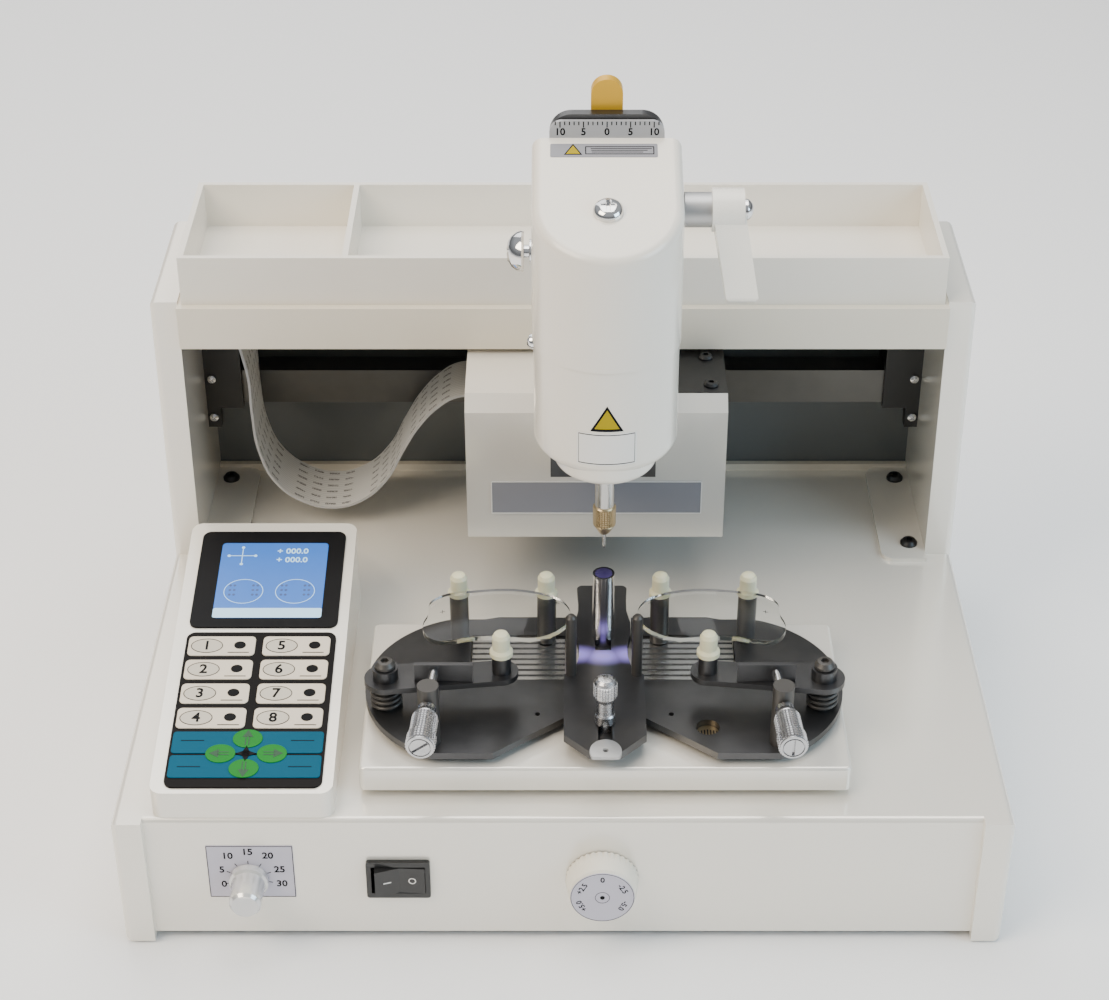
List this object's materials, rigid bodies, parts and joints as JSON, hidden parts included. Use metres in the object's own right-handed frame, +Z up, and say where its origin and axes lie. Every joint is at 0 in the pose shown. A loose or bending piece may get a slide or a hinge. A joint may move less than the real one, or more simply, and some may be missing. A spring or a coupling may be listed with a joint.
{
  "type": "lens drilling machine",
  "caption": "Bench-top drilling machine for rimless spectacle lenses: cross-sliding drill head over a sliding lens table, with a sloping control pod and a parts tray.",
  "frame": {"origin": "under the middle of the machine, on the surface that its feet stand on", "axes": "+X to the operator's right, +Y away from the operator, +Z up"},
  "size_m": [0.292, 0.229, 0.2625],
  "materials": {
    "cream_paint": "gloss",
    "dark_steel": "satin",
    "motor_black": "satin",
    "steel": "brushed",
    "aluminium": "satin",
    "chrome": "polished",
    "brass": "knurled",
    "black_rubber": "matt",
    "pale_rubber": "soft",
    "yellow_paint": "satin",
    "cream_plastic": "gloss",
    "black_plastic": "gloss",
    "keypad": "satin",
    "display": "gloss",
    "ribbon": "matt",
    "circuit_board": "satin",
    "clear_lens": "polished"
  },
  "bodies": {
    "frame": {"base_shell": "cream_paint", "bottom_cover": "dark_steel", "side_panels": "cream_paint", "rear_frame": "cream_paint", "parts_tray": "cream_paint", "rubber_feet": "black_rubber", "guide_rails": "steel", "x_lead_screw": "steel", "rail_brackets": "dark_steel", "foot_flanges": "cream_paint", "frame_screws": "dark_steel", "pod_case": "cream_paint", "pod_display": "display", "keypad_film": "keypad", "switch_bezel": "black_plastic", "y_motor": "motor_black", "control_board": "circuit_board", "power_inlet": "black_plastic"},
    "power_switch": {"power_rocker": "black_plastic"},
    "depth_control": {"depth_knob": "aluminium"},
    "height_dial": {"dial_knob": "cream_plastic"},
    "table_screw": {"y_lead_screw": "steel"},
    "carriage": {"carriage_block": "dark_steel", "carriage_cover": "cream_paint", "carriage_screws": "dark_steel", "ribbon_cable": "ribbon", "x_motor": "motor_black"},
    "rotor": {"x_rotor_nut": "brass"},
    "head_slider": {"slide_plate": "dark_steel", "tilt_pointer": "yellow_paint"},
    "drill_head": {"head_upper_shell": "cream_paint", "head_lower_shell": "cream_paint", "head_screws": "chrome", "spindle_motor": "steel", "tilt_scale": "aluminium"},
    "spindle": {"spindle_shaft": "steel", "collet_nut": "brass", "drill_bit": "steel"},
    "lever": {"feed_shaft": "steel", "feed_lever": "cream_plastic"},
    "tilt_lock": {"lock_screw": "chrome"},
    "table": {"table_plate": "cream_paint", "table_slider": "aluminium", "wing_plates": "dark_steel", "ribbed_beds": "aluminium", "centre_plate": "dark_steel", "light_tube": "steel", "table_posts": "dark_steel", "peg_caps": "pale_rubber", "demo_lenses": "clear_lens", "springs": "steel"},
    "clamp": {"clamp_knob": "steel"},
    "left_adjuster": {"left_spindle": "steel"},
    "left_thumbscrew": {"left_thimble": "steel"},
    "right_adjuster": {"right_spindle": "steel"},
    "right_thumbscrew": {"right_thimble": "steel"},
    "left_arm": {"left_jaw": "dark_steel", "left_jaw_cap": "pale_rubber"},
    "right_arm": {"right_jaw": "dark_steel", "right_jaw_cap": "pale_rubber"}
  },
  "joints": [
    {"name": "table_slide", "type": "slide", "parent": "frame", "child": "table", "axis": [0, 1, 0], "range_m": [-0.01, 0.01]},
    {"name": "table_screw_turn", "type": "hinge", "parent": "frame", "child": "table_screw", "pos_m": [0.0237, -0.05, 0.027], "axis": [0, 1, 0], "range_deg": [-901, 901]},
    {"name": "carriage_slide", "type": "slide", "parent": "frame", "child": "carriage", "axis": [1, 0, 0], "range_m": [-0.0345, 0.0345], "deforming": ["ribbon_cable"]},
    {"name": "rotor_turn", "type": "hinge", "parent": "carriage", "child": "rotor", "pos_m": [-0.009, 0.098, 0.1185], "axis": [1, 0, 0], "range_deg": [-3106, 3106]},
    {"name": "head_slide", "type": "slide", "parent": "carriage", "child": "head_slider", "axis": [0, 0, 1], "range_m": [-0.0155, 0], "stiffness_N_per_m": 700, "springref_m": 0.03},
    {"name": "head_tilt", "type": "hinge", "parent": "head_slider", "child": "drill_head", "pos_m": [0.0137, -0.0015, 0.169], "axis": [0, 1, 0], "range_deg": [-10, 10]},
    {"name": "spindle_turn", "type": "hinge", "parent": "drill_head", "child": "spindle", "pos_m": [0.0137, -0.0292, 0.15], "axis": [0, 0, 1], "continuous": true},
    {"name": "feed_lever_turn", "type": "hinge", "parent": "drill_head", "child": "lever", "pos_m": [0.0511, -0.0175, 0.2285], "axis": [1, 0, 0], "range_deg": [0, 70.1]},
    {"name": "tilt_lock_turn", "type": "hinge", "parent": "drill_head", "child": "tilt_lock", "pos_m": [-0.0158, -0.0195, 0.215], "axis": [1, 0, 0], "range_deg": [-540, 0]},
    {"name": "power_rocker_tip", "type": "hinge", "parent": "frame", "child": "power_switch", "pos_m": [-0.054, -0.0991, 0.0271], "axis": [0, 0, 1], "range_deg": [-14, 0]},
    {"name": "depth_knob_turn", "type": "hinge", "parent": "frame", "child": "depth_control", "pos_m": [-0.103, -0.105, 0.0267], "axis": [0, 1, 0], "range_deg": [-130, 130]},
    {"name": "dial_knob_turn", "type": "hinge", "parent": "frame", "child": "height_dial", "pos_m": [0.0128, -0.105, 0.0267], "axis": [0, 1, 0], "range_deg": [-120, 120]},
    {"name": "clamp_knob_turn", "type": "hinge", "parent": "table", "child": "clamp", "pos_m": [0.0137, -0.076, 0.08], "axis": [0, 0, 1], "range_deg": [-540, 0]},
    {"name": "left_adjuster_slide", "type": "slide", "parent": "table", "child": "left_adjuster", "axis": [0.0663, 0.9978, 0], "range_m": [-0.004, 0]},
    {"name": "left_thumbscrew_turn", "type": "hinge", "parent": "left_adjuster", "child": "left_thumbscrew", "pos_m": [-0.04226, -0.06636, 0.0855], "axis": [0.0663, 0.9978, 0], "range_deg": [-1440.5, 0]},
    {"name": "left_jaw_swing", "type": "hinge", "parent": "table", "child": "left_arm", "pos_m": [-0.0584, -0.0635, 0.08], "axis": [0, 0, 1], "range_deg": [-13.2, 0]},
    {"name": "right_adjuster_slide", "type": "slide", "parent": "table", "child": "right_adjuster", "axis": [-0.0663, 0.9978, 0], "range_m": [-0.004, 0]},
    {"name": "right_thumbscrew_turn", "type": "hinge", "parent": "right_adjuster", "child": "right_thumbscrew", "pos_m": [0.06966, -0.06636, 0.0855], "axis": [-0.0663, 0.9978, 0], "range_deg": [-1440.5, 0]},
    {"name": "right_jaw_swing", "type": "hinge", "parent": "table", "child": "right_arm", "pos_m": [0.0858, -0.0635, 0.08], "axis": [0, 0, 1], "range_deg": [0, 13.2]}
  ],
  "couplings": [
    {"joint": "table_screw_turn", "follows": "table_slide", "rad_per_m": 1570.8},
    {"joint": "rotor_turn", "follows": "carriage_slide", "rad_per_m": 1570.8},
    {"joint": "feed_lever_turn", "follows": "head_slide", "rad_per_m": -78.8},
    {"joint": "left_thumbscrew_turn", "follows": "left_adjuster_slide", "rad_per_m": 6283.2},
    {"joint": "left_jaw_swing", "follows": "left_adjuster_slide", "rad_per_m": 56.5},
    {"joint": "right_thumbscrew_turn", "follows": "right_adjuster_slide", "rad_per_m": 6283.2},
    {"joint": "right_jaw_swing", "follows": "right_adjuster_slide", "rad_per_m": -56.5}
  ]
}
